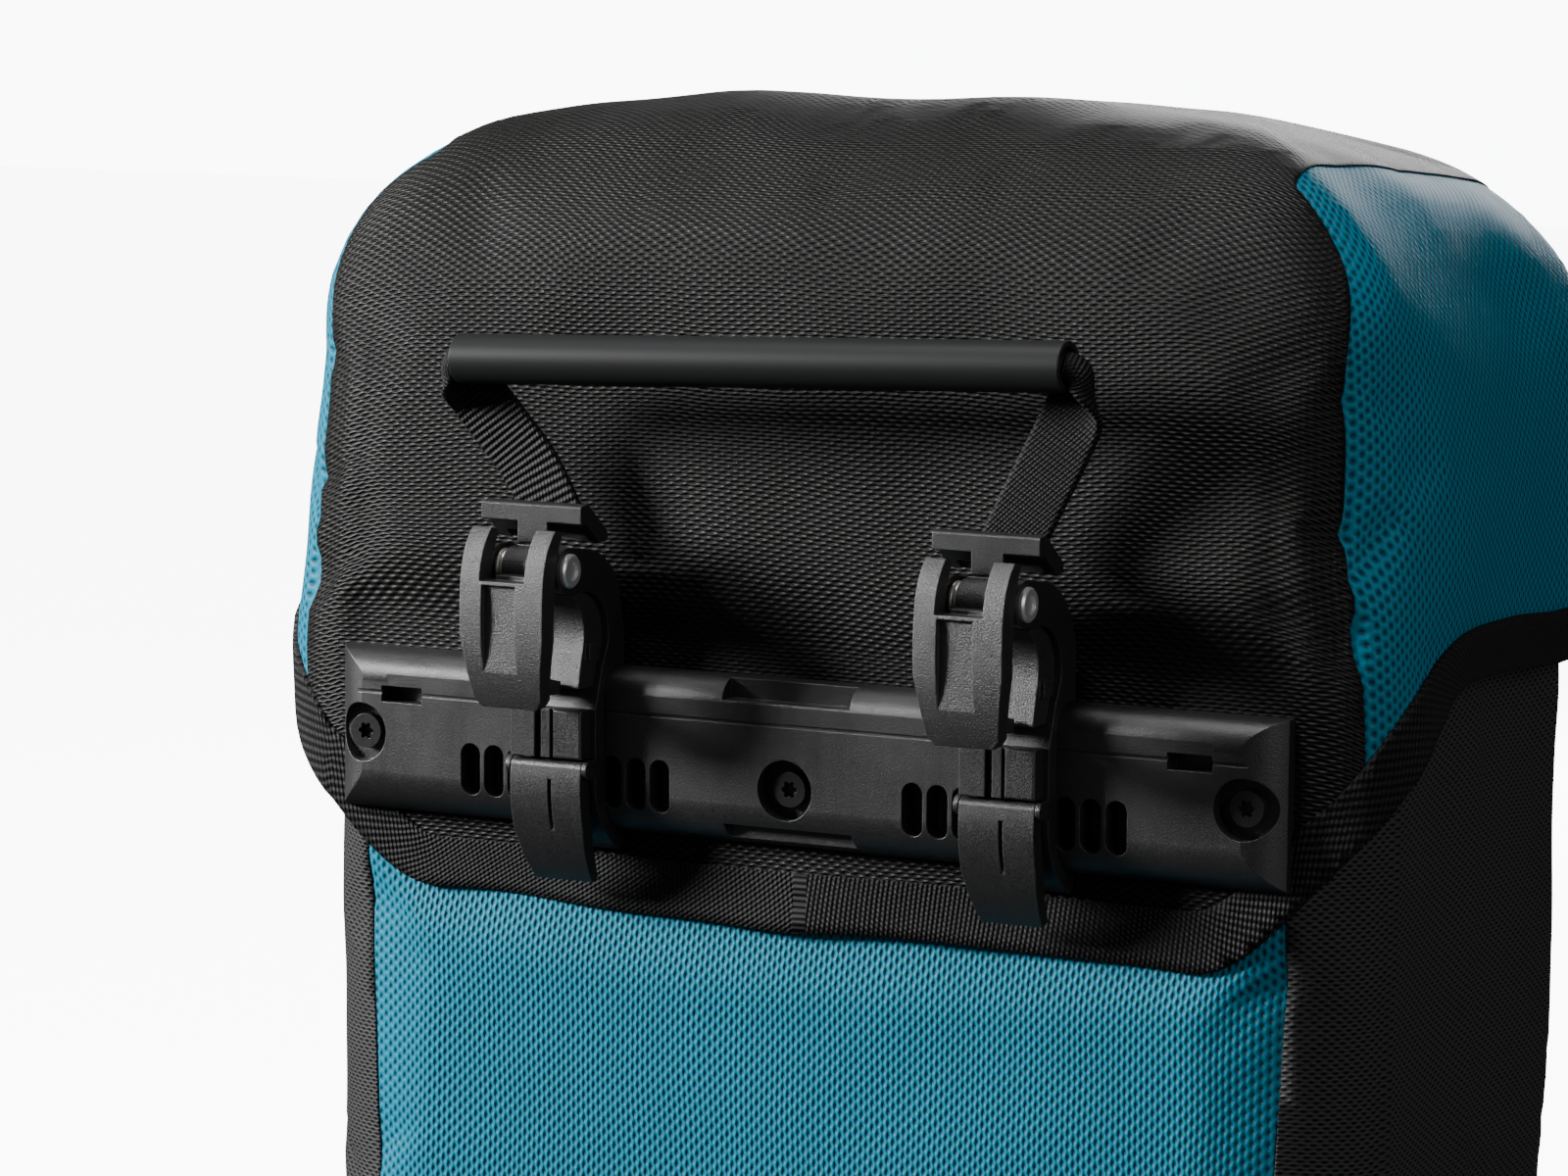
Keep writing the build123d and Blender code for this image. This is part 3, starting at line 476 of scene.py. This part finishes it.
def inflate(piece, cap, held):
    """Soft goods under gentle air pressure: a short cloth run, with no point moved further than cap."""
    start = [v.co.copy() for v in piece.data.vertices]
    group = piece.vertex_groups.new(name="held")
    group.add([i for i, co in enumerate(start) if held(co)], 1.0, "REPLACE")
    cloth = piece.modifiers.new("air", "CLOTH")
    cloth.settings.use_pressure = True
    cloth.settings.uniform_pressure_force = PRESSURE
    cloth.settings.vertex_group_mass = "held"
    cloth.settings.quality = 4
    cloth.settings.tension_stiffness = 25
    cloth.settings.bending_stiffness = 2
    cloth.settings.effector_weights.gravity = 0
    cloth.point_cache.frame_start = 1
    cloth.point_cache.frame_end = FILLING_STEPS
    for step in range(1, FILLING_STEPS + 1):
        bpy.context.scene.frame_set(step)
    graph = bpy.context.evaluated_depsgraph_get()
    moved = [v.co.copy() for v in piece.evaluated_get(graph).data.vertices]
    piece.modifiers.clear()
    bpy.context.scene.frame_set(1)
    for vert, old, new in zip(piece.data.vertices, start, moved):
        step = new - old
        if step.length > cap:
            step *= cap / step.length
        vert.co = old + step


def dents(scale, depth, seed, weight):
    """Broad soft dents, as a move of a point; weight says where they may be."""
    def move(co):
        place = co * scale + Vector((seed, seed * 0.7, -seed))
        elsewhere = Vector((31, 0, 0)), Vector((0, 57, 0))
        push = Vector((noise.noise(place), *(noise.noise(place + step) for step in elsewhere)))
        return push * depth * weight(co)
    return move


def cut(bm, field):
    """Keep the part of a mesh where field(point) is positive, with a clean edge along its zero line."""
    rest = bm.verts.layers.float_vector.new("rest")
    for vert in bm.verts:
        vert[rest] = vert.co
        vert.co = Vector((field(vert.co), vert.co.y, vert.co.z))
    geometry = bm.verts[:] + bm.edges[:] + bm.faces[:]
    bmesh.ops.bisect_plane(bm, geom=geometry, dist=1e-7, plane_co=(0, 0, 0), plane_no=(1, 0, 0),
                           clear_inner=True)
    for vert in bm.verts:
        vert.co = vert[rest]
    bm.verts.layers.float_vector.remove(rest)


def cloth_piece(name, source, fields, moves, material, unroll, lift=0.0, wall=1.2 * MM):
    """A cloth part cut out of a block along the given fields, moved into its soft shape and given a wall."""
    bm = bmesh.new()
    bm.from_mesh(source.data)
    for field in fields:
        cut(bm, field)
    bm.normal_update()
    weave = bm.loops.layers.uv.new("weave")
    for face in bm.faces:
        for loop in face.loops:
            loop[weave].uv = unroll(loop.vert.co, loop.vert.normal)
    for move in moves:
        for vert in bm.verts:
            vert.co += move(vert.co)
    bm.normal_update()
    lifts = [v.normal * lift for v in bm.verts]
    for vert, step in zip(bm.verts, lifts):
        vert.co += step
    piece = new_piece(name, bm, material)
    give_wall(piece, wall, -1).use_even_offset = False
    return piece


def sew_on(piece, body, slot, *nodes):
    """Say which body carries a piece and which plain solids it stands for, which are hidden; slot, the name
    of its finish, is not used.
    """
    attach(piece, body)
    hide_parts(*nodes)


# Bag -------------------------------------------------------------------------------------------
def bag_half(z):
    return BASE_HALF + (BAG_HALF - BASE_HALF) * min(z / SHOULDER_Z, 1)


def bag_inset(co):
    """How far a point is inside the bag's outline, seen along Y."""
    side = bag_half(co.z) - abs(co.x)
    if side < BASE_CORNER_R and co.z < BASE_CORNER_R:
        return BASE_CORNER_R - math.hypot(BASE_CORNER_R - side, BASE_CORNER_R - co.z)
    return min(side, co.z)


def below_rim(co):
    return RIM_Z - co.z


def on_panel(co):
    return bag_inset(co) - SEAM_INSET + SEAM_LAP


def bag_held(co):
    """What stays put while the bag fills: the base, the rim and the board behind the rail."""
    board = co.y < BACK_Y + MM and co.z > 0.19
    return co.z < 3 * MM or co.z > RIM_Z - 5 * MM or board


def bag_soft(co):
    """Where the bag's cloth may give: not at the base, the rail board or the rim."""
    up = smooth(0.0, 0.05, co.z) * smooth(0.0, 0.04, RIM_Z - co.z)
    under_lid = smooth(0.16, 0.19, co.z) * smooth(BACK_Y + 0.06, BACK_Y + 0.03, co.y)
    board = 0.5 if co.y < BACK_Y + 0.03 else 1
    return up * board * (1 - under_lid)


def swell(co):
    """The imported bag's sides stand out a little between base and lid."""
    height = smooth(0.01, 0.09, co.z) * smooth(0.31, 0.24, co.z)
    out = 6.5 * MM * smooth(0.128, 0.158, abs(co.x)) * height
    return Vector((math.copysign(out, co.x), 0, 0))


def tuck(co):
    """The bag's back leans away under the lid's brow."""
    return Vector((0, 4 * MM * smooth(0.30, RIM_Z, co.z) * smooth(0.0, -0.05, co.y), 0))


def panel_weave(co, normal):
    return (co.x, co.z)


def rim_weave(co, normal):
    return (co.x + co.y, co.z)


def gusset_weave(co, normal):
    """Cloth coordinates of the strip that runs down one side, under the base and up the other."""
    side = bag_half(co.z) - abs(co.x)
    along = co.z
    if co.z < BASE_CORNER_R:
        turn = math.atan2(BASE_CORNER_R - co.z, max(BASE_CORNER_R - side, 0))
        along = BASE_CORNER_R * (1 - turn) - max(side - BASE_CORNER_R, 0)
    wrap = math.copysign(min(bag_inset(co), 0.03), co.y - BAG_MID_Y)
    return (co.y + wrap, along)


BAG_MOVES = [swell, dents(14, 2.2 * MM, 3.1, bag_soft), dents(38, 0.8 * MM, 8.4, bag_soft), tuck]


def sew_bag():
    """Back, front, gusset and rim tape, cut along their seams out of one filled block."""
    filled = block(
        "bag_block", bag_half, 0.0, RIM_Z + SPARE, BACK_Y, FRONT_Y, 0.0, BASE_CORNER_R, BAG_EDGE_R,
    )
    inflate(filled, 3.5 * MM, bag_held)
    back = cloth_piece(
        "bag_back", filled, [below_rim, lambda co: BAG_MID_Y - co.y, on_panel], BAG_MOVES, blue_finish,
        panel_weave,
    )
    sew_on(back, "bag", "blue_cloth", "back_panel")
    front = cloth_piece(
        "bag_front", filled, [below_rim, lambda co: co.y - BAG_MID_Y, on_panel], BAG_MOVES, blue_finish,
        panel_weave,
    )
    sew_on(front, "bag", "blue_cloth", "front_panel")
    gusset = cloth_piece(
        "gusset", filled, [below_rim, lambda co: SEAM_INSET - bag_inset(co)], BAG_MOVES, gusset_painted_lit_finish,
        gusset_weave, lift=OVER_CLOTH, wall=1.4 * MM,
    )
    sew_on(gusset, "bag", "gusset_cloth", "gusset_left", "gusset_right", "base_panel")
    tape = cloth_piece(
        "rim_tape", filled, [lambda co: below_rim(co) + MM, lambda co: RIM_TAPE_HEIGHT - below_rim(co)],
        BAG_MOVES, tape_finish, rim_weave, lift=0.8 * MM, wall=3.4 * MM,
    )
    sew_on(tape, "bag", "binding_tape", "rim_hem")
    return filled


# Lid -------------------------------------------------------------------------------------------
def lid_half(z):
    return LID_LOW_HALF - (z - TAIL_Z) * LID_SLOPE


def round_the_bag(co):
    """Distance along the lid's outline seen from above, from the middle of its back."""
    x, y = abs(co.x), co.y - LID_BACK_Y
    corner = lid_half(co.z) - LID_EDGE_R
    if y < LID_EDGE_R and x > corner:
        return corner + LID_EDGE_R * math.atan2(x - corner, LID_EDGE_R - y)
    if y < LID_EDGE_R:
        return x
    return corner + LID_EDGE_R * math.pi / 2 + y - LID_EDGE_R


def edge_height(around):
    """Height of the lid's lower edge: low on the back, swept up round the corners."""
    return TAIL_Z + (SKIRT_Z - TAIL_Z) * smooth(0.118, 0.212, around)


def above_edge(co):
    """Distance of a point from the lid's lower edge, square to that edge."""
    around = round_the_bag(co)
    rise = (edge_height(around + MM) - edge_height(around - MM)) / (2 * MM)
    return (co.z - edge_height(around)) / math.hypot(1, rise)


def on_band(co):
    """Positive on the coloured side bands, which reach round the corners and end over the shoulder."""
    shoulder = 6 * MM * smooth(0.34, 0.40, co.z)
    ends = min(co.y - LID_BACK_Y, LID_FRONT_Y - co.y) - BAND_MARGIN - shoulder
    return min(ends, abs(co.x) - BAND_TOP_HALF)


def lid_held(co):
    """What stays put while the lid fills: its skirt, and its tail behind the rail."""
    skirt = co.z < SKIRT_Z + 5 * MM and co.y > LID_BACK_Y + 5 * MM
    tail = co.y < LID_BACK_Y + MM and co.z < 0.27
    return skirt or tail


def lid_soft(co):
    """Where the lid's cloth may give: not under the rail."""
    behind_rail = co.y < LID_BACK_Y + 0.02 and abs(co.x) < 0.155
    return smooth(0.0, 0.03, abs(co.z - 0.233) - 0.02) if behind_rail else 1


def arc_gap(radius, height):
    """How far a rounded edge stands back at a height below the top."""
    if height >= radius:
        return 0.0
    return radius - math.sqrt(max(radius**2 - (radius - max(height, 0)) ** 2, 0))


def brow(co):
    """Widens the small rounding between back and top into a broad soft brow."""
    if co.y > LID_FRONT_Y - LID_EDGE_R:
        return Vector()
    height = LID_TOP_Z - co.z
    push = arc_gap(LID_BROW_R, height) - arc_gap(LID_EDGE_R, height)
    fade = 1 - smooth(LID_BACK_Y + LID_EDGE_R, LID_FRONT_Y - LID_EDGE_R, co.y)
    sides = 1 - 0.55 * smooth(0.10, 0.165, abs(co.x))
    return Vector((0, push * fade * sides, 0))


def crown(co):
    """The top sags to the front and to the sides, and the lid's sides stand out."""
    top = smooth(0.33, 0.41, co.z)
    fall = 9 * MM * smooth(-0.01, 0.12, co.y) + 5 * MM * (co.x / 0.16) ** 2
    middle = smooth(0.20, 0.26, co.z) * smooth(0.37, 0.30, co.z)
    out = 3 * MM * middle * smooth(0.10, 0.17, abs(co.x))
    return Vector((math.copysign(out, co.x), 0, -fall * top))


def crease(co):
    """A soft fold down each back corner."""
    if co.y > LID_BACK_Y + 0.012:
        return Vector()
    off_line = abs(co.x) - (lid_half(co.z) - LID_EDGE_R + 0.5 * MM)
    height = smooth(0.24, 0.27, co.z) * smooth(0.36, 0.32, co.z)
    return Vector((0, -1.6 * MM * math.exp(-((off_line / (3.2 * MM)) ** 2)) * height, 0))


def lid_weave(co, normal):
    """Cloth coordinates that run up the back, over the top, down the front and round the corners."""
    back, front = co.y - LID_BACK_Y, LID_FRONT_Y - co.y
    turned = smooth(0.45, 0.95, abs(normal.x))
    around = co.x + math.copysign(min(back, front) * turned, co.x)
    over = 1 - 2 * smooth(-0.02, 0.07, co.y)
    return (around, back * (1 - turned) + (co.z - LID_TOP_Z) * over)


def band_weave(co, normal):
    return (co.y, co.z + 0.6 * max(0, 0.15 - abs(co.x)))


def tape_weave(co, normal):
    return (round_the_bag(co), above_edge(co))


LID_MOVES = [brow, crown, crease, dents(13, 3.2 * MM, 1.7, lid_soft), dents(30, 1.3 * MM, 5.2, lid_soft)]


def bend_over_hinge(piece):
    """Fixed on the bag's back and bending over the hinge line, upwards and forwards at once, so that seams
    stay closed."""
    applied(piece)
    low, high = HINGE_Z - BEND_HALF, HINGE_Z + BEND_HALF
    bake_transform(piece, "bag", "lid", (0, HINGE_Y, low), (0, HINGE_Y, high))
    weight = piece.data.attributes["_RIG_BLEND"].data
    for vert in piece.data.vertices:
        up = smooth(low, high, vert.co.z)
        forwards = smooth(HINGE_Y + 0.017, HINGE_Y + 0.077, vert.co.y)
        weight[vert.index].value = 1 - (1 - up) * (1 - forwards)


def sew_lid():
    """Black cloth, coloured side bands and edge tape, cut along their seams out of one filled block."""
    block_top = LID_TOP_Z - LID_BLOCK_DROP
    filled = block(
        "lid_block", lid_half, TAIL_Z - SPARE, block_top, LID_BACK_Y, LID_FRONT_Y, block_top, LID_CORNER_R,
        LID_EDGE_R,
    )
    inflate(filled, 4 * MM, lid_held)
    cloth = cloth_piece(
        "lid_cloth", filled, [above_edge, lambda co: -on_band(co)], LID_MOVES, lid_finish, lid_weave,
        lift=OVER_CLOTH,
    )
    bands = cloth_piece(
        "lid_bands", filled, [above_edge, lambda co: on_band(co) + BAND_LAP], LID_MOVES, blue_finish,
        band_weave,
    )
    tape = cloth_piece(
        "lid_tape", filled, [lambda co: above_edge(co) + MM, lambda co: LID_TAPE_HEIGHT - above_edge(co)],
        LID_MOVES, tape_finish, tape_weave, lift=1.5 * MM, wall=4.2 * MM,
    )
    for piece, slot, nodes in (
        (cloth, "lid_cloth", ["lid_back_panel", "lid_shell"]),
        (bands, "blue_cloth", ["lid_side_left", "lid_side_right"]),
        (tape, "binding_tape", ["lid_binding", "lid_tail_binding"]),
    ):
        bend_over_hinge(piece)
        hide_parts(*nodes)
    return filled


# Straps and webbing ----------------------------------------------------------------------------
def along_path(path, t):
    """Point and direction on a smooth curve through the path's points."""
    spans = len(path) - 1
    span = min(int(t * spans), spans - 1)
    f = t * spans - span
    a, b = path[span], path[span + 1]
    before = path[span - 1] if span else a * 2 - b
    after = path[span + 2] if span + 2 < len(path) else b * 2 - a
    leave, arrive = (b - before) / 2, (after - a) / 2
    place = a * (2 * f**3 - 3 * f**2 + 1) + leave * (f**3 - 2 * f**2 + f)
    place += b * (3 * f**2 - 2 * f**3) + arrive * (f**3 - f**2)
    forward = a * (6 * f**2 - 6 * f) + leave * (3 * f**2 - 4 * f + 1)
    forward += b * (6 * f - 6 * f**2) + arrive * (3 * f**2 - 2 * f)
    return place, forward.normalized()


def path_length(path):
    return sum((b - a).length for a, b in zip(path, path[1:]))


def flat_all_along(t):
    return 0.0


def ribbon(name, path, across, width, wall, curl=flat_all_along):
    """A strap along a path of points: width direction and curl are given along its length, from 0 to 1."""
    bm = bmesh.new()
    bmesh.ops.create_grid(bm, x_segments=14, y_segments=90, size=0.5)
    weave = bm.loops.layers.uv.new("weave")
    length = path_length(path)
    for face in bm.faces:
        for loop in face.loops:
            loop[weave].uv = (loop.vert.co.x * width, loop.vert.co.y * length)
    for vert in bm.verts:
        t, w = vert.co.y + 0.5, vert.co.x * width
        place, forward = along_path(path, t)
        side = across(t)
        side = (side - forward * side.dot(forward)).normalized()
        bend = curl(t)
        if abs(bend) < 1e-3:
            vert.co = place + side * w
        else:
            sunk = forward.cross(side) * ((1 - math.cos(bend * w)) / bend - bend * ROLL_R**2)
            vert.co = place + side * (math.sin(bend * w) / bend) + sunk
    piece = new_piece(name, bm, webbing_finish)
    give_wall(piece, wall, 0)
    return piece


def handle_webbing(side, sign):
    """Rolled up inside the tube, out of its end, over and flat down to the strap clip. The tube's right end
    is the higher one."""
    rise = sign * 3.3
    path = points(
        (sign * 66, -99, 347 + rise * 0.7),
        (sign * 80, -99, 347 + rise * 0.85),
        (sign * 91.5, -99, 347 + rise),
        (sign * 96.5, -97, 344.5 + rise),
        (sign * 94, -93, 338 + rise * 0.7),
        (sign * 86.5, -89.5, 326 + rise * 0.4),
        (sign * 78, -87, 313),
        (sign * 70, -86, 298),
    )
    flat = Vector((1, 0, -0.5 * sign))

    def across(t):
        turn = smooth(0.34, 0.62, t)
        return Vector((0, -1, 0)) * sign * (1 - turn) + flat * turn

    def unrolling(t):
        return (1 - smooth(0.3, 0.7, t)) / ROLL_R

    webbing = ribbon(f"handle_webbing_{side}_woven", path, across, WEBBING_WIDTH, 1.7 * MM, unrolling)
    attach(webbing, f"clip_{side}")
    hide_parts(f"handle_webbing_{side}")


def closing_strap(name, body, node, *middle_line):
    """One half of the strap on the front, with the slight waves of used webbing. The line is (y, z) in mm."""
    path = points(*((0, y, z) for y, z in middle_line))
    strap = ribbon(name, path, lambda t: Vector((1, 0, 0)), STRAP_WIDTH, 2 * MM)
    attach(strap, body)
    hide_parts(node)


def straps():
    for side, sign in SIDES.items():
        handle_webbing(side, sign)
    closing_strap(
        "lid_strap_woven", "lid", "lid_strap",
        (106.4, 334), (107.2, 318), (106.6, 295), (107.4, 265), (108.4, 247), (109.0, 238),
    )
    closing_strap(
        "bag_strap_woven", "bag", "bag_strap",
        (102.6, 140), (103.4, 155), (103.0, 172), (103.4, 190), (103.6, 212),
    )


# Stitching -------------------------------------------------------------------------------------
def stitch_row(name, start, end):
    """A straight row of small thread stitches that sink in at both ends."""
    spacing, thickness = 2.6 * MM, 0.35 * MM
    bm = bmesh.new()
    forward = (end - start).normalized()
    turned = forward.to_track_quat("X", "Z").to_matrix().to_4x4()
    size = Matrix.Diagonal((spacing * 0.4, thickness, thickness, 1))
    count = max(int((end - start).length / spacing), 1)
    for i in range(count):
        place = Matrix.Translation(start.lerp(end, (i + 0.5) / count))
        bmesh.ops.create_uvsphere(bm, u_segments=8, v_segments=6, radius=1, matrix=place @ turned @ size)
    bmesh.ops.recalc_face_normals(bm, faces=bm.faces)
    return new_piece(name, bm, thread_finish)


def cross_box(name, middle, body):
    """A sewn square with a cross in it, where a strap is fixed to the cloth."""
    half = Vector((9 * MM, 0, 8 * MM))
    corners = [middle + half * Vector((x, 0, z)) for x, z in ((-1, -1), (1, -1), (1, 1), (-1, 1))]
    rows = list(zip(corners, corners[1:] + corners[:1]))
    rows += [(corners[0], corners[2]), (corners[1], corners[3])]
    for i, (start, end) in enumerate(rows):
        row = stitch_row(f"{name}_{i}", start, end)
        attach(row, body)


def stitching():
    cross_box("lid_strap_stitch", Vector((0, 108.2, 322)) * MM, "lid")
    cross_box("bag_strap_stitch", Vector((0, 104.5, 152)) * MM, "bag")


# Hardware finishes -----------------------------------------------------------------------------
OTHER_FINISHES = (
    (latch_finish, ["latch_left", "latch_right", "hook_insert_left", "hook_insert_right"]),
    (rivet_finish, ["latch_rivet_left", "latch_rivet_right"]),
    (spring_finish, ["latch_spring_left", "latch_spring_right"]),
    (screw_finish, ["rail_screws", "lower_rail_screws", "lower_hook_screw"]),
    (tube_finish, ["handle_tube"]),
    (strip_finish, ["rail_backing_strip"]),
    (board_finish, ["stiffener_board"]),
    (film_finish, ["reflectors"]),
    (pocket_finish, ["inner_pocket"]),
)


def finish_hardware():
    """Every carried-over solid is black moulded plastic, unless another finish names it."""
    finish_of = {node: finish for finish, nodes in OTHER_FINISHES for node in nodes}
    for node, piece in frame["nodes"].items():
        piece.data.materials.clear()
        piece.data.materials.append(finish_of.get(node, plastic_finish))


# Studio ----------------------------------------------------------------------------------------
def soft_light(name, place, size, power):
    """A round lamp that faces the bag's middle."""
    lamp = bpy.data.lights.new(name, "AREA")
    lamp.shape = "DISK"
    lamp.size = size
    lamp.energy = power
    light = bpy.data.objects.new(name, lamp)
    light.location = place
    light.rotation_euler = (Vector((0, -0.05, 0.25)) - Vector(place)).to_track_quat("-Z", "Y").to_euler()
    bpy.context.collection.objects.link(light)


def pale_floor():
    """White floor that glows enough to melt into the room, and lights nothing."""
    bpy.ops.mesh.primitive_plane_add(size=12)
    floor = bpy.context.object
    floor.name = "studio_floor"
    white = Nodes("pale_floor").finish(
        (0.9, 0.9, 0.9), 0.7, Emission_Color=(1, 1, 1, 1), Emission_Strength=9.0
    )
    floor.data.materials.append(white)
    floor.visible_diffuse = False
    floor.visible_glossy = False


def soft_room(seen, felt):
    """A room that is bright to look at and dim as a light."""
    world = bpy.data.worlds.new("soft_room")
    world.use_nodes = True
    tree = world.node_tree
    room = tree.nodes["Background"]
    room.inputs["Color"].default_value = (0.95, 0.97, 1.0, 1)
    sight = tree.nodes.new("ShaderNodeLightPath")
    level = tree.nodes.new("ShaderNodeMapRange")
    level.inputs["To Min"].default_value = felt
    level.inputs["To Max"].default_value = seen
    tree.links.new(sight.outputs["Is Camera Ray"], level.inputs["Value"])
    tree.links.new(level.outputs["Result"], room.inputs["Strength"])
    bpy.context.scene.world = world


def camera():
    """Looks down a little on the rail side, from the right."""
    view = bpy.data.objects.new("camera", bpy.data.cameras.new("camera"))
    bpy.context.collection.objects.link(view)
    view.data.sensor_width = 36
    view.data.lens = 139.9
    turn, tilt, roll = math.radians(28.19), math.radians(6.92), math.radians(0.52)
    distance, looked_at = 1.6774, Vector((-0.67, -81, 283.5)) * MM
    ahead = Vector((-math.sin(turn) * math.cos(tilt), math.cos(turn) * math.cos(tilt), -math.sin(tilt)))
    level = Vector((math.cos(turn), math.sin(turn), 0))
    upright = level.cross(ahead)
    right = level * math.cos(roll) + upright * math.sin(roll)
    up = upright * math.cos(roll) - level * math.sin(roll)
    turned = Matrix((right, up, -ahead)).transposed()
    view.matrix_world = Matrix.Translation(looked_at - ahead * distance) @ turned.to_4x4()
    bpy.context.scene.camera = view


def studio():
    pale_floor()
    soft_room(seen=10.5, felt=0.07)
    soft_light("left_window", (-1.25, -0.75, 0.75), 0.42, 60)
    soft_light("top_panel", (-0.2, -0.35, 1.6), 0.5, 12)
    soft_light("right_fill", (1.3, -0.6, 0.7), 0.8, 4.5)
    soft_light("front_fill", (-0.35, 1.6, 0.7), 0.9, 20)
    camera()


for used_up in (sew_bag(), sew_lid()):
    bpy.data.objects.remove(used_up)
straps()
stitching()
finish_hardware()
studio()
